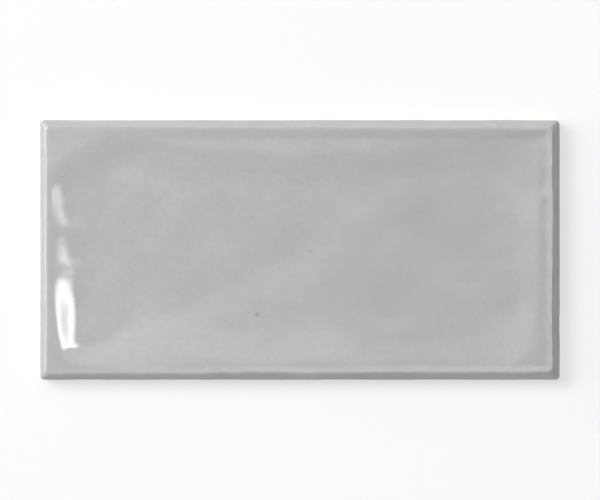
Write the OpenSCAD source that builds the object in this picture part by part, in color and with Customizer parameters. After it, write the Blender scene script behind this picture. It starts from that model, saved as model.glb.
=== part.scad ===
// Glazed ceramic wall tile in the two-to-one brick format, lying on its back.
// X runs along the tile, Y across it and Z from the back up to the glazed face.
// The origin is the centre of the back, where the tile meets its adhesive bed.

/* [Tile] */
// Length of the tile, over its glazed edges
tile_length = 150; // [90:1:300]
// Width of the tile, over its glazed edges
tile_width = 75; // [60:1:150]
// Thickness, from the ribs of the back to the rim of the face
tile_thickness = 8; // [6:0.5:14]
// Radius of the four upright corners, seen from above
corner_radius = 1.2; // [0.4:0.1:3]

/* [Edges] */
// Width of the sloping edge, from the side in to the rim
edge_width = 2.4; // [1.8:0.1:3]
// Depth of the sloping edge, from the rim down to the upright side
edge_depth = 2.6; // [2:0.1:3.2]
// Radius where the sloping edge turns level into the rim
rim_radius = 0.8; // [0.4:0.1:1.6]
// Radius where the sloping edge turns down into the side
side_radius = 0.6; // [0.4:0.1:1.2]
// Size of the chamfer between the back and the sides
back_chamfer = 0.6; // [0.2:0.1:1.2]

/* [Face] */
// Width of the flat rim inside the sloping edge
rim_width = 1.2; // [0.4:0.1:4]
// Width of the soft slope from the rim down to the floor of the face
slope_width = 12; // [4:0.5:14]
// Depth of the floor below the rim
dish_depth = 0.8; // [0.3:0.1:1.2]
// Corner radius of the level floor, where the slope begins
floor_radius = 3; // [1:0.5:8]

/* [Back] */
// Plain border round the keyed field of the back
key_border = 6; // [4:0.5:10]
// Width of the ribs between the keying pockets
rib_width = 2.5; // [1.5:0.5:4]
// Aimed spacing of the ribs, which is evened out to fit the field
rib_spacing = 15; // [10:1:20]
// Depth of the keying pockets
pocket_depth = 0.7; // [0.3:0.1:1.2]
// Corner radius of the keying pockets
pocket_radius = 1.5; // [0.5:0.1:2]

/* [Hidden] */
// How far a cut runs past the surface that it leaves through
overrun = 1;
// Smoothness of the circles
$fn = 96;

// Flat of the sloping edge, which touches the arcs at its top and its foot
side_top = tile_thickness - edge_depth;
flat_run = edge_width - side_radius;
flat_rise = edge_depth - rim_radius;
flat_tilt = atan2(flat_rise, flat_run) + asin((rim_radius - side_radius) / norm([flat_run, flat_rise]));
flat_facing = [sin(flat_tilt), cos(flat_tilt)];

// Level floor of the face, between the slopes
floor_inset = edge_width + rim_width + slope_width;
floor_length = tile_length - 2 * floor_inset;
floor_width = tile_width - 2 * floor_inset;
floor_height = tile_thickness - dish_depth;

// Radius of the two equal arcs that make the slope, one hollow and one round
slope_radius = (pow(slope_width, 2) + pow(dish_depth, 2)) / (4 * dish_depth);

// Even numbers of pockets, so that a pair of ribs crosses at the origin
field_length = tile_length - 2 * key_border;
field_width = tile_width - 2 * key_border;
pocket_columns = even_count(field_length);
pocket_rows = even_count(field_width);
column_pitch = (field_length + rib_width) / pocket_columns;
row_pitch = (field_width + rib_width) / pocket_rows;

function even_count(span) = 2 * max(1, round(span / rib_spacing / 2));

// Rectangle about the origin with true round corners
module rounded_rectangle(length, width, radius) {
    square([length - 2 * radius, width], center = true);
    square([length, width - 2 * radius], center = true);
    for (x = [-1, 1], y = [-1, 1])
        translate([x * (length / 2 - radius), y * (width / 2 - radius)])
            circle(radius);
}

// Section through the thickness: chamfered back, upright sides and sloping edges with rounded turns
module blank_section(span) {
    rim_centre = [span / 2 - edge_width, tile_thickness - rim_radius];
    side_centre = [span / 2 - side_radius, side_top];
    right_half = [
        [span / 2 - back_chamfer, 0],
        [span / 2, back_chamfer],
        [span / 2, side_top],
        side_centre + side_radius * flat_facing,
        rim_centre + rim_radius * flat_facing,
        rim_centre + [0, rim_radius]
    ];
    left_half = [for (i = [len(right_half) - 1 : -1 : 0]) [-right_half[i].x, right_half[i].y]];
    polygon(concat(right_half, left_half));
    for (side = [0, 1])
        mirror([side, 0]) {
            translate(rim_centre)
                circle(rim_radius);
            translate(side_centre)
                circle(side_radius);
        }
}

// Pressed blank with a level face: the two sections meet in a mitre at each corner
module blank() {
    intersection() {
        rotate([90, 0, 0])
            linear_extrude(tile_width, center = true)
                blank_section(tile_length);
        rotate([90, 0, 90])
            linear_extrude(tile_length, center = true)
                blank_section(tile_width);
        linear_extrude(tile_thickness)
            rounded_rectangle(tile_length, tile_width, corner_radius);
    }
}

// Room above the slope, from the floor at x = 0 out to the rim at x = slope_width
module slope_section() {
    half = slope_width / 2;
    cut_height = dish_depth + overrun;
    intersection() {
        translate([0, slope_radius])
            circle(slope_radius);
        square([half, cut_height]);
    }
    difference() {
        translate([half, 0])
            square([half, cut_height]);
        translate([slope_width, dish_depth - slope_radius])
            circle(slope_radius);
    }
}

// One straight side of the dish, running along X and sloping up towards +Y
module slope_run(run) {
    rotate([90, 0, 90])
        linear_extrude(run, center = true)
            slope_section();
}

// What is taken out of the face: the level floor with its slopes and round corners
module dish() {
    straight_length = floor_length - 2 * floor_radius;
    straight_width = floor_width - 2 * floor_radius;
    cut_height = dish_depth + overrun;
    translate([0, 0, floor_height]) {
        linear_extrude(cut_height)
            rounded_rectangle(floor_length, floor_width, floor_radius);
        for (turn = [0, 180])
            rotate(turn) {
                translate([0, floor_width / 2])
                    slope_run(straight_length);
                rotate(90)
                    translate([0, floor_length / 2])
                        slope_run(straight_width);
            }
        for (x = [0, 1], y = [0, 1])
            mirror([x, 0, 0])
                mirror([0, y, 0])
                    translate([straight_length / 2, straight_width / 2])
                        rotate_extrude(angle = 90)
                            translate([floor_radius, 0])
                                slope_section();
    }
}

// Shallow pockets in the back that key the tile to its adhesive
module keying_pockets() {
    for (column = [0 : pocket_columns - 1], row = [0 : pocket_rows - 1])
        translate([
            (column - (pocket_columns - 1) / 2) * column_pitch,
            (row - (pocket_rows - 1) / 2) * row_pitch,
            -overrun
        ])
            linear_extrude(overrun + pocket_depth)
                rounded_rectangle(column_pitch - rib_width, row_pitch - rib_width, pocket_radius);
}

// The tile, pressed, glazed and fired as one piece
module tile() {
    color("silver")
        difference() {
            blank();
            dish();
            keying_pockets();
        }
}

tile();
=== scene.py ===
"""Looks of a glossy grey wall tile: one glazed and fired piece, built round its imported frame."""

import math

import bpy
import numpy as np
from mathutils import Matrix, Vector


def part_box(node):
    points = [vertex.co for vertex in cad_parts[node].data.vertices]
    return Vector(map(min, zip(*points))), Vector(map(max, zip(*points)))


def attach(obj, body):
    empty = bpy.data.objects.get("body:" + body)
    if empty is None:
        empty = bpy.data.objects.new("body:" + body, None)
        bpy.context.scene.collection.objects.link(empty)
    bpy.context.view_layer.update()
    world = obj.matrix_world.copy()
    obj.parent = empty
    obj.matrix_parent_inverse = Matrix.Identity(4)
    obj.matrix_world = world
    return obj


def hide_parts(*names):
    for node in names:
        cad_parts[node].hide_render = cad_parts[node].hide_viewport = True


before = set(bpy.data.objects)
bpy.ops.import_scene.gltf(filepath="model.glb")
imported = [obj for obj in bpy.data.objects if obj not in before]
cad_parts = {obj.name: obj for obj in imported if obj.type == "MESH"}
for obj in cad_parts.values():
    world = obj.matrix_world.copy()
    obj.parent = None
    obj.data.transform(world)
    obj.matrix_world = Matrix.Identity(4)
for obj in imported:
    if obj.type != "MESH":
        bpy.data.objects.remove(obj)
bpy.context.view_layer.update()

# Metres in a millimetre: the shape is worked out in millimetres
MM = 0.001

# The tile's box, with the origin at the centre of its back
tile_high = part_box("tile")[1]
HALF_X = tile_high.x / MM
HALF_Y = tile_high.y / MM
TOP = tile_high.z / MM

# Sloping edge: its width and depth, and the radii at its rim and at its foot
EDGE_WIDTH = 2.4
EDGE_DEPTH = 2.6
RIM_RADIUS = 0.8
SIDE_RADIUS = 0.6
# Radii of the tile's corners seen from above, at its sides and at the crest of its edge
OUTER_CORNER = 1.2
CREST_CORNER = 1.6

# How much nearer the crest lies to all sides under its glaze, and how far it leans to the left one
EDGE_NARROWER = 0.1
EDGE_LEAN = 0.26
# How the crest wavers: how far, shortest and longest length, and seed
CREST_WAVES = [(0.12, 7, 40, 12), (0.05, 2.5, 6, 13)]
# Inset at which the crest's shifts have grown to their full size
CREST_REACH = 1.2

# Glaze that rolls over the crest into a faint groove, deeper and wider towards the top right
LIP_WIDTH = 2.1
LIP_WIDENING = 0.9
LIP_DEPTH = 0.145
LIP_LEAN_X = 0.95
LIP_LEAN_Y = 0.45
LIP_WAVES = [(0.3, 4, 25, 11)]
LIP_WAVES_REACH = 7
GROOVE_RISE = 0.015
GROOVE_START = 1.3
GROOVE_WIDTH = 2.2

# Broad slope of the pressed face: how far in from each side it starts, and how wide it is
SLOPE_LEFT = (0.5, 15.0)
SLOPE_RIGHT = (5.2, 10.5)
SLOPE_TOP = (2.6, 12.0)
SLOPE_BOTTOM = (2.8, 7.0)
SLOPE_DEPTH = 0.64
# Shares by which the face is pressed deeper along its left side, and deeper still near that side's lower end
LEFT_DEEPER = 0.24
LOWER_LEFT_DEEPER = 0.27
# Where the deeper press starts to fade towards the right, and how far on it is gone
PRESS_FADE_START = -58
PRESS_FADE_REACH = 60
# Middle and reach of the turn from the left side's press to its lower end's
LOWER_TURN = -14
LOWER_TURN_REACH = 9
# Corner radius of the level floor at its bottom and top corners, as a share of the slope's width
ROUNDING_BOTTOM = 0.03
ROUNDING_TOP = 0.8
# The top slope starts further in along its middle
TOP_BOW = 6.0
TOP_BOW_REACH = 44.0
# The bottom slope grows wider away from its left end: by how much, from where and over what distance
BOTTOM_SPREAD = 13.0
SPREAD_START = -67
SPREAD_REACH = 40
# Unevenness of the slopes in depth and in place, as shares, most of it kept away from the left side
DEPTH_WAVES = [(0.08, 25, 60, 8)]
PLACE_WAVES = [(0.05, 14, 45, 5)]
LEFT_CALM = 0.8
LEFT_CALM_REACH = 20

# Stretches of the left slope that are steeper or gentler: middle, reach and share
STEEP_STRETCHES = [
    (-21.8, 13.2, 0.3),
    (-5.6, 2.4, -0.11),
    (-0.6, 2.6, 0.05),
    (6.4, 2.0, -0.09),
    (14.5, 7.0, 0.19),
    (18.5, 4.0, 0.03),
]
# How far the left slope leans inward towards its foot, from where and over what distance
STEEP_LEAN = 4.3
LEAN_START = 20
LEAN_REACH = 50
# Where the left slope strays inward or outward: middle, reach and shift
STRAYS = [(13.0, 5.0, 0.5), (-1.5, 5.0, -0.5)]

# Waves of the face: height, shortest and longest length, and seed
FACE_WAVES = [(0.13, 34, 80, 2415), (0.05, 13, 30, 7183), (0.014, 5, 11, 23), (0.006, 2.2, 5, 24)]
# How far inside the crest these waves start, and how far on they are at their full height
WAVES_START = 1
WAVES_REACH = 11
# Hollows of the face, which are never raised: depth, shortest and longest length, and seed
FACE_HOLLOWS = (0.03, 20, 60, 31)
# Shallow dimples of the face that the photograph shows: x, y, radius and depth
DIMPLES = [
    (-12.4, -18.7, 1.1, 0.035),
    (3.8, -17.6, 0.9, 0.02),
    (-19.6, -3.7, 1.6, 0.03),
    (17.6, 8.7, 2.6, -0.03),
    (47.3, 15.8, 1.4, 0.03),
]
# Tiny dark specks in the glaze of the face: x, y and strength, and their height, core and reach
SPECKS = [(-12.4, -18.7, 0.45), (3.0, -0.4, 0.3)]
SPECK_HEIGHT = 7.15
SPECK_CORE = 0.2
SPECK_REACH = 1.0

# Glaze line on the sides, above the bare clay: its height, its wavering and its limits
GLAZE_LINE = 2.7
LINE_WAVES = [(0.35, 9, 40, 51), (0.15, 3, 8, 52)]
LOWEST_LINE = 1.3
HIGHEST_LINE = 4.2
# Hollows of the glazed sides, beads at the glaze line and hollows of the clay
SIDE_HOLLOWS = (0.05, 8, 40, 41)
LINE_BEADS = (0.03, 6, 30, 53)
CLAY_HOLLOWS = (0.04, 5, 20, 54)
# Glazed side: share of the way down to the line, shares of the hollow and the bead, and set-back
GLAZED_SIDE = [(0.35, 1, 0, 0.03), (0.7, 1, 0, 0.04), (0.9, 0.5, 1, 0), (1, 0, 1, 0.03)]
# Thickness of the glaze at its line, and its foot there: how far below the line, and share of that thickness
GLAZE_THICKNESS = 0.26
GLAZE_FOOT = [(0.1, 0.6), (0.16, 1)]

# Bare clay between the glaze and its rounded foot: the foot's height, and shares of the height above it
FOOT_HEIGHT = 0.6
CLAY_SHARES = (0.66, 0.33, 0)
# Rounded foot of the clay: height, and how far it turns in
CLAY_FOOT = [(0.3, 0.12), (0.08, 0.36), (0, 0.7)]

# Thinned glaze on the edge: its middle and reach, how far down the sides it goes, and its patches
THIN_MIDDLE = 0.7 * EDGE_WIDTH
THIN_REACH = 1.1
THIN_FOOT = EDGE_DEPTH + 1
THIN_PATCHES = (4, 18, 61)
# Darker groove inside the rim, partly glaze pooled there and partly painted shade: its middle and reach, and
# its patches
POOL_MIDDLE = 2 * EDGE_WIDTH
POOL_REACH = 1.3
POOL_PATCHES = (6, 25, 62)

# Back of the tile, with its keying pockets between ribs
KEY_BORDER = 6.0
RIB_WIDTH = 2.5
POCKET_COLUMNS = 10
POCKET_ROWS = 4
POCKET_DEPTH = 0.7
POCKET_CORNER = 1.5
POCKET_WALL = 0.7

# Mesh spacing, fine near the edges of the face and coarser between
GRID_INSET = 5.6
FINEST = 0.25
FINE = 0.36
COARSE = 0.7
FINE_REACH = 12.0
# Steps of each rounded turn of the edge, of the pockets' walls, and across one cell of the back
EDGE_STEPS = 8
WALL_STEPS = 8
CELL_COLUMNS = 8
CELL_ROWS = 10

# Plane waves that make up each random field
FIELD_WAVES = 36

# Numbers of the two materials on the tile's faces
GLAZE = 0
BISCUIT = 1

# Darker patch of the glaze on the right: its centre and its two radii, in metres, and its share
PATCH_CENTRE = (0.031, -0.004, 0.008)
PATCH_CORE = 0.01
PATCH_REACH = 0.048
PATCH_SHARE = 0.95
# Tones of the glaze: its clouds, that patch, its grain and speckle, and its specks
DARK_CLOUD = (0.440, 0.440, 0.440)
LIGHT_CLOUD = (0.474, 0.474, 0.474)
PATCH_TONE = (0.41, 0.41, 0.41)
GRAIN_TONE = (0.398, 0.398, 0.398)
SPECKLE_TONE = (0.38, 0.38, 0.38)
SPECK_TONE = (0.24, 0.24, 0.24)
# Tones of the glaze where it is thin and in the groove, where it has pooled and where shade is painted, and
# how far it may take them on
THIN_TONE = (0.56, 0.555, 0.545)
THIN_MOST = 0.27
POOL_AND_SHADE_TONE = (0.33, 0.33, 0.33)
POOL_AND_SHADE_MOST = 0.32
# Index of refraction of the glaze
GLAZE_IOR = 1.52
# Tones of the bare clay: its clouds and its grit
DARK_CLAY = (0.60, 0.555, 0.485)
LIGHT_CLAY = (0.68, 0.64, 0.57)
GRIT_TONE = (0.42, 0.36, 0.29)
# Range that most of a noise lies in
NOISE_LOW = 0.3
NOISE_HIGH = 0.7

# Floor: its size in metres, the gap that keeps it clear of the tile, and its paint
FLOOR_SIZE = 60
FLOOR_GAP = 0.05
FLOOR_PAINT = (0.85, 0.85, 0.85, 1)
# Distances in metres between which the floor turns plain white, and how white it is before
WHITE_FROM = 0.3
WHITE_TO = 2.0
WHITE_BEFORE = 0.6
# Upward parts of a ray's heading between which the studio's white fades to its ceiling
CEILING_FROM = 0.03
CEILING_TO = 0.35

# Camera's lens and sensor, and the width of the picture against the tile's in it
LENS = 600
SENSOR = 36
PICTURE_WIDTH = 600
TILE_IN_PICTURE = 520
# How far the camera sees, in metres
CLIP_END = 100


def soft_step(t):
    """Rises from 0 to 1 with its steepest part at a third of the way."""
    t = np.clip(t, 0, 1)
    return t * t * (6 - 8 * t + 3 * t * t)


def swell(x, y, shortest, longest, seed):
    """Smooth random field over the plane, about -1 to 1, from plane waves of every heading."""
    chance = np.random.default_rng(seed)
    total = np.zeros(np.shape(x))
    for number in range(FIELD_WAVES):
        heading = (number + chance.uniform()) * 2 * math.pi / FIELD_WAVES
        length = shortest * (longest / shortest) ** chance.uniform()
        phase = chance.uniform(0, 2 * math.pi)
        total += np.sin((x * math.cos(heading) + y * math.sin(heading)) * 2 * math.pi / length + phase)
    return total / math.sqrt(FIELD_WAVES)


def waves(x, y, rows):
    """Sum of random swells, each with its height, shortest and longest length, and seed."""
    return sum(height * swell(x, y, shortest, longest, seed) for height, shortest, longest, seed in rows)


def hollows(x, y, depth, shortest, longest, seed):
    """Random hollows, from nothing to twice the depth."""
    return depth * (1 + np.tanh(swell(x, y, shortest, longest, seed)))


def inset_from(x, y, half_x, half_y, radius):
    """Distance in from a rounded rectangle about the origin, negative outside it."""
    past_x = np.abs(x) - (half_x - radius)
    past_y = np.abs(y) - (half_y - radius)
    outside = np.hypot(np.maximum(past_x, 0), np.maximum(past_y, 0))
    return radius - outside - np.minimum(np.maximum(past_x, past_y), 0)


def edge_curve(steps):
    """Inset and drop of the sloping edge, from the upright side in to the crest."""
    flat_run = EDGE_WIDTH - SIDE_RADIUS
    flat_rise = EDGE_DEPTH - RIM_RADIUS
    tilt = math.atan2(flat_rise, flat_run)
    tilt += math.asin((RIM_RADIUS - SIDE_RADIUS) / math.hypot(flat_run, flat_rise))
    side = np.linspace(math.pi / 2, tilt, steps)
    rim = np.linspace(tilt, 0, steps)
    inset = np.concatenate([SIDE_RADIUS * (1 - np.sin(side)), EDGE_WIDTH - RIM_RADIUS * np.sin(rim)])
    drop = np.concatenate([EDGE_DEPTH - SIDE_RADIUS * np.cos(side), RIM_RADIUS * (1 - np.cos(rim))])
    return inset, drop


EDGE_CURVE = edge_curve(steps=40)


def left_lean(y):
    """How far the left slope lies further in than at its top."""
    below = np.clip((LEAN_START - y) / LEAN_REACH, 0, 1)
    lean = STEEP_LEAN * below * below
    for middle, reach, shift in STRAYS:
        lean = lean + shift * np.exp(-(((y - middle) / reach) ** 2))
    return lean


def left_steepness(y):
    """How many times as steep as usual the left slope is, at each place along it."""
    steep = 1
    for middle, reach, share in STEEP_STRETCHES:
        steep = steep + share * np.exp(-(((y - middle) / reach) ** 4))
    return steep


def down_slope(x, y):
    """How far down the slope of the face each point lies: 0 at its top and 1 where the floor begins."""
    on_left = x < 0
    start_x = np.where(on_left, SLOPE_LEFT[0] + left_lean(y), SLOPE_RIGHT[0])
    width_x = np.where(on_left, SLOPE_LEFT[1] / left_steepness(y), SLOPE_RIGHT[1])
    at_bottom = y < 0
    wider = BOTTOM_SPREAD * soft_step((x - SPREAD_START) / SPREAD_REACH)
    bow = TOP_BOW * np.exp(-((x / TOP_BOW_REACH) ** 4))
    start_y = np.where(at_bottom, SLOPE_BOTTOM[0], SLOPE_TOP[0] + bow)
    width_y = np.where(at_bottom, SLOPE_BOTTOM[1] + wider, SLOPE_TOP[1])

    centre = 1 + np.where(at_bottom, ROUNDING_BOTTOM, ROUNDING_TOP)
    reach_x = centre - (HALF_X - np.abs(x) - start_x) / width_x
    reach_y = centre - (HALF_Y - np.abs(y) - start_y) / width_y
    return centre - np.hypot(np.maximum(reach_x, 0), np.maximum(reach_y, 0))


def lip_share(x, y):
    """How strongly the glaze has flowed: 1 in the middle of the tile, more to the right and the top."""
    return (1 + LIP_LEAN_X * x / HALF_X) * (1 + LIP_LEAN_Y * y / HALF_Y)


def lip_drop(past, x, y):
    """How far the rolled lip and its groove take the face down, at a distance past the crest."""
    lip = lip_share(x, y)
    width = LIP_WIDTH * (1 + LIP_WIDENING * np.clip(y / HALF_Y, 0, 1))
    uneven = 1 + waves(x, y, LIP_WAVES) * (1 - soft_step(past / LIP_WAVES_REACH))
    rise = GROOVE_RISE * lip * soft_step((past - GROOVE_START) / GROOVE_WIDTH)
    return LIP_DEPTH * lip * uneven * soft_step(past / width) - rise


def slope_drop(x, y):
    """How far the pressed face lies below the crest."""
    uneven = 1 - LEFT_CALM * np.exp(-(((x + HALF_X) / LEFT_CALM_REACH) ** 2))
    lower = 0.5 - 0.5 * np.tanh((y - LOWER_TURN) / LOWER_TURN_REACH)
    deeper = LEFT_DEEPER + LOWER_LEFT_DEEPER * lower
    faded = soft_step((x - PRESS_FADE_START) / PRESS_FADE_REACH)
    depth = SLOPE_DEPTH * (1 + deeper * (1 - faded))
    depth *= 1 + uneven * waves(x, y, DEPTH_WAVES)
    return depth * soft_step(down_slope(x, y) + uneven * waves(x, y, PLACE_WAVES))


def face_drop(inset, x, y):
    """How far the glazed top lies below its highest point, at an inset from the sides."""
    shift = waves(x, y, CREST_WAVES) + EDGE_NARROWER - EDGE_LEAN * x / HALF_X
    inset = inset + shift * np.clip(inset / CREST_REACH, 0, 1)
    past = inset - EDGE_WIDTH
    drop = np.interp(inset, *EDGE_CURVE) + lip_drop(past, x, y) + slope_drop(x, y)

    grown = np.clip((past - WAVES_START) / WAVES_REACH, 0, 1) ** 2
    drop += grown * waves(x, y, FACE_WAVES)
    drop += hollows(x, y, *FACE_HOLLOWS) * np.clip(inset / EDGE_WIDTH, 0, 1)
    for at_x, at_y, radius, depth in DIMPLES:
        away = np.hypot(x - at_x, y - at_y) / radius
        drop += depth * np.exp(-away * away)
    return drop


def inset_on_face(x, y):
    """How far in from the sides a point inside the crest lies."""
    return EDGE_WIDTH + inset_from(x, y, HALF_X - EDGE_WIDTH, HALF_Y - EDGE_WIDTH, CREST_CORNER)


class Skin:
    """The points and faces of one closed skin, built from loops that run anticlockwise from above."""

    def __init__(self):
        self.points = []
        self.faces = []
        self.materials = []
        self.count = 0

    def add(self, x, y, z):
        """Adds points and returns their numbers."""
        block = np.stack(np.broadcast_arrays(x, y, z), axis=-1).reshape(-1, 3)
        self.points.append(block)
        self.count += len(block)
        return np.arange(self.count - len(block), self.count)

    def keep(self, faces, material):
        """Adds faces, each given by the numbers of its points."""
        self.faces.extend(faces.tolist())
        self.materials.extend([material] * len(faces))

    def join(self, before, after, material):
        """Joins two loops of one length with quads."""
        self.keep(np.stack([before, after, np.roll(after, -1), np.roll(before, -1)], axis=1), material)

    def fill(self, grid, material, facing_up):
        """Fills a grid of points with quads."""
        corners = [grid[:-1, :-1], grid[:-1, 1:], grid[1:, 1:], grid[1:, :-1]]
        if not facing_up:
            corners.reverse()
        self.keep(np.stack([c.ravel() for c in corners], axis=1), material)

    def zip(self, before, after, before_turn, after_turn, material):
        """Joins two loops of unlike lengths with triangles, by how far round each point lies."""
        before_turn = np.append(before_turn, 4)
        after_turn = np.append(after_turn, 4)
        faces = []
        i = 0
        j = 0
        while i < len(before) or j < len(after):
            here = before[i % len(before)]
            there = after[j % len(after)]
            if j == len(after) or (i < len(before) and before_turn[i + 1] <= after_turn[j + 1]):
                i += 1
                faces.append([here, there, before[i % len(before)]])
            else:
                j += 1
                faces.append([here, there, after[j % len(after)]])
        self.keep(np.array(faces), material)


def edge_of(grid):
    """The loop of points round a grid, from its lower left corner."""
    return np.concatenate([grid[0, :-1], grid[:-1, -1], grid[-1, :0:-1], grid[:0:-1, 0]])


def side_of_loop(fractions, along, across, radius):
    """One side of a rounded rectangle, with fractions from -1 to 1 between the middles of its corners.

    Gives the distance along the side, the distance out from the centre, and the way that it faces.
    """
    straight = along - radius
    reach = np.abs(fractions) * (straight + radius * math.pi / 4)
    turn = np.maximum(reach - straight, 0) / radius
    run = np.sign(fractions) * (np.minimum(reach, straight) + radius * np.sin(turn))
    out = across - radius * (1 - np.cos(turn))
    return run, out, np.sign(fractions) * np.sin(turn), np.cos(turn)


class Loops:
    """Makes loops round the tile that all have one point for each line of its face's grid."""

    def __init__(self, fractions_x, fractions_y):
        self.fractions_x = fractions_x[:-1]
        self.fractions_y = fractions_y[:-1]
        quarter = [(f[:-1] + 1) / 2 for f in (fractions_x, fractions_y)]
        self.turn = np.concatenate([quarter[i % 2] + i for i in range(4)])

    def rounded(self, half_x, half_y, radius, inset=0):
        """Rounded rectangle, moved in by an inset that may differ from point to point."""
        run_x, out_y, lean_x, face_y = side_of_loop(self.fractions_x, half_x, half_y, radius)
        run_y, out_x, lean_y, face_x = side_of_loop(self.fractions_y, half_y, half_x, radius)
        x = np.concatenate([run_x, out_x, -run_x, -out_x])
        y = np.concatenate([-out_y, run_y, out_y, -run_y])
        facing_x = np.concatenate([lean_x, face_x, -lean_x, -face_x])
        facing_y = np.concatenate([-face_y, lean_y, face_y, -lean_y])
        return x - facing_x * inset, y - facing_y * inset


def grid_lines(half):
    """Lines from -half to half, fine near both ends and coarse between."""
    near = np.linspace(0, FINE_REACH, round(FINE_REACH / FINE) + 1)
    middle = half - FINE_REACH
    far = np.linspace(-middle, middle, 2 * round(middle / COARSE) + 1)
    return np.concatenate([near[:-1] - half, far, (half - near[:-1])[::-1]])


def build_face(skin):
    """Adds the face inside the crest, and returns the loops' maker and the crest's loop."""
    half_x = HALF_X - GRID_INSET
    half_y = HALF_Y - GRID_INSET
    lines_x = grid_lines(half_x)
    lines_y = grid_lines(half_y)
    x, y = np.meshgrid(lines_x, lines_y)
    grid = skin.add(x, y, TOP - face_drop(inset_on_face(x, y), x, y)).reshape(x.shape)
    skin.fill(grid, GLAZE, facing_up=True)

    loops = Loops(lines_x / half_x, lines_y / half_y)
    last = edge_of(grid)
    steps = round((GRID_INSET - EDGE_WIDTH) / FINEST)
    for step in range(1, steps + 1):
        outward = step / steps
        inset = GRID_INSET + (EDGE_WIDTH - GRID_INSET) * outward
        x, y = loops.rounded(HALF_X - inset, HALF_Y - inset, CREST_CORNER * outward)
        ring = skin.add(x, y, TOP - face_drop(inset_on_face(x, y), x, y))
        skin.join(last, ring, GLAZE)
        last = ring
    return loops, last


def build_edge(skin, loops, crest):
    """Adds the sloping edge and the glazed part of the sides, down to the glaze line."""
    last = crest
    for inset in edge_curve(EDGE_STEPS)[0][-2::-1]:
        inward = inset / EDGE_WIDTH
        corner = OUTER_CORNER + (CREST_CORNER - OUTER_CORNER) * inward
        x, y = loops.rounded(HALF_X - inset, HALF_Y - inset, corner)
        hollow = hollows(x, y, *SIDE_HOLLOWS) * (1 - inward)
        x, y = loops.rounded(HALF_X - inset, HALF_Y - inset, corner, hollow)
        ring = skin.add(x, y, TOP - face_drop(inset, x, y))
        skin.join(last, ring, GLAZE)
        last = ring
    return last


def build_sides(skin, loops, last):
    """Adds the glazed sides with a bead at the glaze line, and the bare biscuit below."""
    x, y = loops.rounded(HALF_X, HALF_Y, OUTER_CORNER)
    line = np.clip(GLAZE_LINE + waves(x, y, LINE_WAVES), LOWEST_LINE, HIGHEST_LINE)
    hollow = hollows(x, y, *SIDE_HOLLOWS)
    bead = hollows(x, y, *LINE_BEADS)

    top = TOP - EDGE_DEPTH
    for share, hollow_share, bead_share, set_back in GLAZED_SIDE:
        inset = hollow_share * hollow + bead_share * bead + set_back
        x, y = loops.rounded(HALF_X, HALF_Y, OUTER_CORNER, inset)
        ring = skin.add(x, y, top + (line - top) * share)
        skin.join(last, ring, GLAZE)
        last = ring

    bare = GLAZE_THICKNESS + hollows(x, y, *CLAY_HOLLOWS)
    clay_top = line - GLAZE_FOOT[-1][0]
    under = [(line - below, share * bare) for below, share in GLAZE_FOOT]
    under += [(FOOT_HEIGHT + (clay_top - FOOT_HEIGHT) * share, bare) for share in CLAY_SHARES]
    under += [(height, bare + turn) for height, turn in CLAY_FOOT]
    for z, inset in under:
        x, y = loops.rounded(HALF_X, HALF_Y, OUTER_CORNER, inset)
        ring = skin.add(x, y, z)
        skin.join(last, ring, BISCUIT)
        last = ring
    return last


def build_pocket(skin, cell, centre_x, centre_y, pitch_x, pitch_y, loops):
    """Adds one keying pocket inside its cell's loop of points."""
    half_x = (pitch_x - RIB_WIDTH) / 2
    half_y = (pitch_y - RIB_WIDTH) / 2
    last = cell
    for share in np.linspace(0, 1, WALL_STEPS):
        inset = POCKET_WALL * share
        corner = POCKET_CORNER - inset
        x, y = loops.rounded(half_x - inset, half_y - inset, corner)
        depth = POCKET_DEPTH * share * share * (3 - 2 * share)
        ring = skin.add(centre_x + x, centre_y + y, depth)
        skin.join(last, ring, BISCUIT)
        last = ring
    floor_x = half_x - 2 * POCKET_WALL
    floor_y = half_y - 2 * POCKET_WALL
    lines_x = np.append(loops.fractions_x, 1) * floor_x
    lines_y = np.append(loops.fractions_y, 1) * floor_y
    x, y = np.meshgrid(lines_x, lines_y)
    grid = skin.add(centre_x + x, centre_y + y, POCKET_DEPTH).reshape(x.shape)
    skin.join(last, edge_of(grid), BISCUIT)
    skin.fill(grid, BISCUIT, facing_up=False)


def build_back(skin, loops, last):
    """Adds the back: a plain border, and ribs between rows of keying pockets."""
    pitch_x = (2 * (HALF_X - KEY_BORDER) + RIB_WIDTH) / POCKET_COLUMNS
    pitch_y = (2 * (HALF_Y - KEY_BORDER) + RIB_WIDTH) / POCKET_ROWS
    lines_x = (np.arange(POCKET_COLUMNS * CELL_COLUMNS + 1) / CELL_COLUMNS - POCKET_COLUMNS / 2) * pitch_x
    lines_y = (np.arange(POCKET_ROWS * CELL_ROWS + 1) / CELL_ROWS - POCKET_ROWS / 2) * pitch_y

    on_rib_x = np.arange(len(lines_x)) % CELL_COLUMNS == 0
    on_rib_y = np.arange(len(lines_y)) % CELL_ROWS == 0
    on_rib = on_rib_y[:, None] | on_rib_x[None, :]
    x, y = np.meshgrid(lines_x, lines_y)
    lattice = np.full(x.shape, -1)
    lattice[on_rib] = skin.add(x[on_rib], y[on_rib], 0)

    pocket_loops = Loops(np.linspace(-1, 1, CELL_COLUMNS + 1), np.linspace(-1, 1, CELL_ROWS + 1))
    for row in range(POCKET_ROWS):
        for column in range(POCKET_COLUMNS):
            cell = lattice[
                row * CELL_ROWS : (row + 1) * CELL_ROWS + 1,
                column * CELL_COLUMNS : (column + 1) * CELL_COLUMNS + 1,
            ]
            centre_x = (column + 0.5 - POCKET_COLUMNS / 2) * pitch_x
            centre_y = (row + 0.5 - POCKET_ROWS / 2) * pitch_y
            build_pocket(skin, edge_of(cell), centre_x, centre_y, pitch_x, pitch_y, pocket_loops)

    outline = Loops(lines_x / lines_x[-1], lines_y / lines_y[-1])
    skin.zip(last, edge_of(lattice), loops.turn, outline.turn, BISCUIT)


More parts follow.
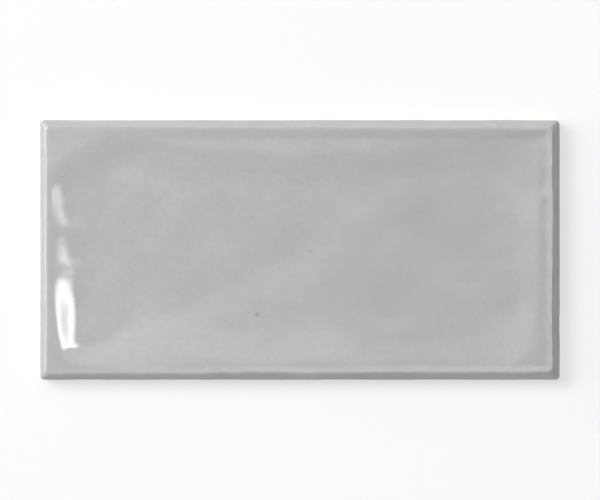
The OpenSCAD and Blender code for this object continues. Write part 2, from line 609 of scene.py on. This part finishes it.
def patchy(x, y, shortest, longest, seed):
    """Random share from 0.5 to 1.1, in patches between two lengths."""
    return 0.8 + 0.3 * np.tanh(swell(x, y, shortest, longest, seed))


def thin_glaze(points):
    """How thin the glaze is at each point: 1 where it runs off an edge, 0 where it lies level."""
    x, y, z = points.T
    off_middle = (inset_from(x, y, HALF_X, HALF_Y, OUTER_CORNER) - THIN_MIDDLE) / THIN_REACH
    thin = np.exp(-off_middle * off_middle)
    return thin * patchy(x, y, *THIN_PATCHES) * (z > TOP - THIN_FOOT)


def pooled_glaze_and_shade(points):
    """How dark the groove inside the rim is made at each point: partly glaze pooled there, partly painted
    shade.
    """
    x, y, z = points.T
    off_middle = (inset_from(x, y, HALF_X, HALF_Y, OUTER_CORNER) - POOL_MIDDLE) / POOL_REACH
    pool_and_shade = np.exp(-off_middle * off_middle) * lip_share(x, y) / 2
    return pool_and_shade * patchy(x, y, *POOL_PATCHES) * (z > TOP - EDGE_DEPTH)


def build_tile():
    """Makes the whole tile as one closed mesh."""
    skin = Skin()
    loops, last = build_face(skin)
    last = build_edge(skin, loops, last)
    last = build_sides(skin, loops, last)
    build_back(skin, loops, last)

    points = np.concatenate(skin.points)
    mesh = bpy.data.meshes.new("glazed_tile")
    mesh.from_pydata(points * MM, [], skin.faces)
    mesh.materials.append(glaze_material())
    mesh.materials.append(biscuit_material())
    mesh.polygons.foreach_set("material_index", skin.materials)
    for name, share in (("thin_glaze", thin_glaze), ("pooled_glaze_and_shade", pooled_glaze_and_shade)):
        mesh.attributes.new(name, "FLOAT", "POINT").data.foreach_set("value", share(points))
    mesh.shade_smooth()
    tile = bpy.data.objects.new("glazed_tile", mesh)
    bpy.context.scene.collection.objects.link(tile)
    return tile


def add_node(tree, kind, **inputs):
    """Adds a shader node and sets or links its inputs; underscores in a name stand for spaces."""
    node = tree.nodes.new(kind)
    for name, value in inputs.items():
        socket = node.inputs[name.replace("_", " ")]
        if isinstance(value, bpy.types.NodeSocket):
            tree.links.new(value, socket)
        else:
            socket.default_value = value
    return node


def new_material(name):
    """An empty material, with its Principled shader and its place in the tile's own space."""
    material = bpy.data.materials.new(name)
    material.use_nodes = True
    tree = material.node_tree
    place = tree.nodes.new("ShaderNodeTexCoord").outputs["Object"]
    return material, tree, tree.nodes["Principled BSDF"], place


def noise(tree, place, size, detail=2.0, roughness=0.5):
    """Noise whose features are about as wide as size, in metres."""
    node = add_node(tree, "ShaderNodeTexNoise", Vector=place, Scale=1 / size, Detail=detail)
    node.inputs["Roughness"].default_value = roughness
    return node.outputs["Fac"]


def spread(tree, value, low, high, to_low, to_high):
    """Maps a value from one range to another, and holds it there."""
    node = add_node(tree, "ShaderNodeMapRange", Value=value)
    node.inputs["From Min"].default_value = low
    node.inputs["From Max"].default_value = high
    node.inputs["To Min"].default_value = to_low
    node.inputs["To Max"].default_value = to_high
    return node.outputs["Result"]


def stretch(tree, value, to_low, to_high):
    """Maps the range that most of a noise lies in to another one."""
    return spread(tree, value, NOISE_LOW, NOISE_HIGH, to_low, to_high)


def blend(tree, share, first, second):
    """Mixes two colours, each a colour or a socket."""
    node = tree.nodes.new("ShaderNodeMix")
    node.data_type = "RGBA"
    tree.links.new(share, node.inputs[0])
    for socket, value in ((node.inputs[6], first), (node.inputs[7], second)):
        if isinstance(value, bpy.types.NodeSocket):
            tree.links.new(value, socket)
        else:
            socket.default_value = (*value, 1)
    return node.outputs[2]


def bump(tree, height, distance, normal=None):
    """Bump from a height, where a full step of it stands distance high, in metres."""
    node = add_node(tree, "ShaderNodeBump", Height=height, Strength=1.0, Distance=distance)
    if normal is not None:
        tree.links.new(normal, node.inputs["Normal"])
    return node.outputs["Normal"]


def share_of(tree, name, most):
    """The mesh's own value of that name, from 0 to the most that it may reach."""
    node = tree.nodes.new("ShaderNodeAttribute")
    node.attribute_name = name
    return spread(tree, node.outputs["Fac"], 0, 1, 0, most)


def combine(tree, operation, first, second):
    """Works one value out of two, by MULTIPLY or MAXIMUM."""
    node = tree.nodes.new("ShaderNodeMath")
    node.operation = operation
    tree.links.new(first, node.inputs[0])
    tree.links.new(second, node.inputs[1])
    return node.outputs[0]


def spot(tree, place, body, centre, inner, outer, share, tone):
    """Blends a round spot into a colour, at its full share inside one radius and gone at the other."""
    away = add_node(tree, "ShaderNodeVectorMath", Vector=place)
    away.operation = "DISTANCE"
    away.inputs[1].default_value = centre
    fade = spread(tree, away.outputs["Value"], inner, outer, share, 0)
    fade.node.interpolation_type = "SMOOTHSTEP"
    return blend(tree, fade, body, tone)


def glaze_material():
    """Glossy neutral grey glaze: clouds, speckle, a paler thin edge, a darker groove of pooled glaze and
    painted shade, and orange peel.
    """
    material, tree, shader, place = new_material("grey_glaze")
    clouds = noise(tree, place, size=0.022, detail=3.0)
    body = blend(tree, stretch(tree, clouds, 0, 1), DARK_CLOUD, LIGHT_CLOUD)
    body = spot(tree, place, body, PATCH_CENTRE, PATCH_CORE, PATCH_REACH, PATCH_SHARE, PATCH_TONE)
    grain = noise(tree, place, size=0.0045, detail=5.0, roughness=0.75)
    body = blend(tree, stretch(tree, grain, 0, 0.5), body, GRAIN_TONE)
    speckle = noise(tree, place, size=0.0016, detail=4.0, roughness=0.7)
    body = blend(tree, stretch(tree, speckle, 0, 0.5), body, SPECKLE_TONE)
    for x, y, share in SPECKS:
        centre = (x * MM, y * MM, SPECK_HEIGHT * MM)
        body = spot(tree, place, body, centre, SPECK_CORE * MM, SPECK_REACH * MM, share, SPECK_TONE)
    body = blend(tree, share_of(tree, "thin_glaze", THIN_MOST), body, THIN_TONE)
    # The groove is darkened here: partly pooled glaze, partly painted shade
    body = blend(tree, share_of(tree, "pooled_glaze_and_shade", POOL_AND_SHADE_MOST), body, POOL_AND_SHADE_TONE)
    tree.links.new(body, shader.inputs["Base Color"])

    gloss = noise(tree, place, size=0.006)
    tree.links.new(stretch(tree, gloss, 0.035, 0.06), shader.inputs["Roughness"])
    shader.inputs["IOR"].default_value = GLAZE_IOR

    peel = noise(tree, place, size=0.0022, detail=1.0)
    normal = bump(tree, peel, distance=0.000007)
    tree.links.new(normal, shader.inputs["Normal"])
    return material


def biscuit_material():
    """Bare fired clay: pale, slightly warm and chalky, with fine grit."""
    material, tree, shader, place = new_material("pale_biscuit")
    clouds = noise(tree, place, size=0.015, detail=4.0)
    body = blend(tree, stretch(tree, clouds, 0, 1), DARK_CLAY, LIGHT_CLAY)
    grit = noise(tree, place, size=0.0004, detail=3.0, roughness=0.7)
    body = blend(tree, spread(tree, grit, 0.62, 0.72, 0, 0.5), body, GRIT_TONE)
    tree.links.new(body, shader.inputs["Base Color"])
    tree.links.new(stretch(tree, grit, 0.82, 0.98), shader.inputs["Roughness"])
    normal = bump(tree, grit, distance=0.00006)
    lumps = noise(tree, place, size=0.0025, detail=3.0)
    normal = bump(tree, lumps, distance=0.00012, normal=normal)
    tree.links.new(normal, shader.inputs["Normal"])
    return material


def seen_directly(tree):
    """1 for rays that show the backdrop itself: from the camera, in a gloss or through glass."""
    path = tree.nodes.new("ShaderNodeLightPath")
    seen = path.outputs["Is Camera Ray"]
    for kind in ("Is Glossy Ray", "Is Transmission Ray"):
        seen = combine(tree, "MAXIMUM", seen, path.outputs[kind])
    return seen


def build_world(fill, ceiling):
    """White studio with an even fill, seen as plain white that fades to a grey ceiling overhead."""
    world = bpy.data.worlds.new("studio")
    bpy.context.scene.world = world
    world.use_nodes = True
    tree = world.node_tree
    tree.nodes.clear()
    shade = add_node(tree, "ShaderNodeBackground", Color=(fill, fill, fill, 1))
    up = tree.nodes.new("ShaderNodeSeparateXYZ")
    tree.links.new(tree.nodes.new("ShaderNodeTexCoord").outputs["Generated"], up.inputs[0])
    brightness = spread(tree, up.outputs["Z"], CEILING_FROM, CEILING_TO, 1, ceiling)
    white = add_node(tree, "ShaderNodeBackground", Color=(1, 1, 1, 1), Strength=brightness)
    mix = add_node(tree, "ShaderNodeMixShader", Fac=seen_directly(tree))
    tree.links.new(shade.outputs[0], mix.inputs[1])
    tree.links.new(white.outputs[0], mix.inputs[2])
    out = tree.nodes.new("ShaderNodeOutputWorld")
    tree.links.new(mix.outputs[0], out.inputs["Surface"])


def build_floor():
    """Wide white floor just under the tile, which keeps its shadow."""
    bpy.ops.mesh.primitive_plane_add(size=FLOOR_SIZE, location=(0, 0, -FLOOR_GAP * MM))
    floor = bpy.context.object
    floor.name = "floor"
    material = bpy.data.materials.new("white_floor")
    material.use_nodes = True
    tree = material.node_tree
    tree.nodes.clear()
    paint = add_node(tree, "ShaderNodeBsdfDiffuse", Color=FLOOR_PAINT)
    glow = add_node(tree, "ShaderNodeEmission", Color=(1, 1, 1, 1), Strength=1.0)
    away = tree.nodes.new("ShaderNodeVectorMath")
    away.operation = "LENGTH"
    tree.links.new(tree.nodes.new("ShaderNodeTexCoord").outputs["Object"], away.inputs[0])
    share = spread(tree, away.outputs["Value"], WHITE_FROM, WHITE_TO, WHITE_BEFORE, 1)
    mix = add_node(tree, "ShaderNodeMixShader", Fac=combine(tree, "MULTIPLY", share, seen_directly(tree)))
    tree.links.new(paint.outputs[0], mix.inputs[1])
    tree.links.new(glow.outputs[0], mix.inputs[2])
    out = tree.nodes.new("ShaderNodeOutputMaterial")
    tree.links.new(mix.outputs[0], out.inputs["Surface"])
    floor.data.materials.append(material)


def soften(light, soft):
    """Lets a lamp's brightness fall off towards each side, over a distance in metres."""
    light.use_nodes = True
    tree = light.node_tree
    place = tree.nodes.new("ShaderNodeSeparateXYZ")
    tree.links.new(tree.nodes.new("ShaderNodeTexCoord").outputs["UV"], place.inputs[0])
    falls = []
    for along, size in (("X", light.size), ("Y", light.size_y)):
        for edge in (0, 1):
            fall = spread(tree, place.outputs[along], edge, abs(edge - soft / size), 0, 1)
            fall.node.interpolation_type = "SMOOTHSTEP"
            falls.append(fall)
    ends = combine(tree, "MULTIPLY", falls[0], falls[1])
    sides = combine(tree, "MULTIPLY", falls[2], falls[3])
    tree.links.new(combine(tree, "MULTIPLY", ends, sides), tree.nodes["Emission"].inputs["Strength"])


def add_lamp(name, azimuth, zenith, distance, width, height, radiance, soft):
    """Soft-edged lamp that faces the tile: azimuth is turned from +X, and zenith is 0 overhead.

    Its width lies level, and its height points up past the tile.
    """
    level = distance * math.sin(math.radians(zenith))
    place = Vector((
        level * math.cos(math.radians(azimuth)),
        level * math.sin(math.radians(azimuth)),
        distance * math.cos(math.radians(zenith)),
    ))
    light = bpy.data.lights.new(name, "AREA")
    light.shape = "RECTANGLE"
    light.size = width
    light.size_y = height
    light.energy = radiance * math.pi * width * height
    lamp = bpy.data.objects.new(name, light)
    bpy.context.scene.collection.objects.link(lamp)
    lamp.location = place
    lamp.rotation_euler = place.to_track_quat("Z", "Y").to_euler()
    lamp.visible_camera = False
    soften(light, soft)


def build_lights():
    """Softboxes on the left, low strips behind and in front, a panel past the top and a lamp near the camera.

    The low strips show the face's waves from the side, and the lamp near the camera makes its glints.
    The numbers are azimuth, zenith, distance, width, height and radiance.
    """
    add_lamp("high_softbox", 150, 38, 2.0, 1.5, 1.3, 7.9, soft=0.35)
    add_lamp("low_softbox", 170, 62, 2.0, 1.5, 1.3, 4.4, soft=0.35)
    add_lamp("rear_strip", 135, 73, 2.0, 1.3, 0.4, 5.0, soft=0.15)
    add_lamp("front_strip", 315, 81, 2.0, 1.3, 0.3, 2.6, soft=0.14)
    add_lamp("top_panel", 90, 25, 2.4, 2.4, 2.6, 1.3, soft=0.6)
    add_lamp("small_lamp", 5, 12.4, 5.0, 1.6, 0.84, 14.0, soft=0.42)


def build_camera():
    """Long lens straight above the tile, square on to its face as in the photograph."""
    shown_width = 2 * HALF_X * MM * PICTURE_WIDTH / TILE_IN_PICTURE
    data = bpy.data.cameras.new("camera")
    data.lens = LENS
    data.sensor_width = SENSOR
    data.clip_end = CLIP_END
    camera = bpy.data.objects.new("camera", data)
    bpy.context.scene.collection.objects.link(camera)
    camera.location = (0, 0, TOP * MM + shown_width * LENS / SENSOR)
    bpy.context.scene.camera = camera


build_camera()
build_world(fill=0.12, ceiling=0.35)
build_floor()
build_lights()
tile = build_tile()
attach(tile, "root")
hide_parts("tile")
bpy.context.scene.view_settings.view_transform = "Standard"
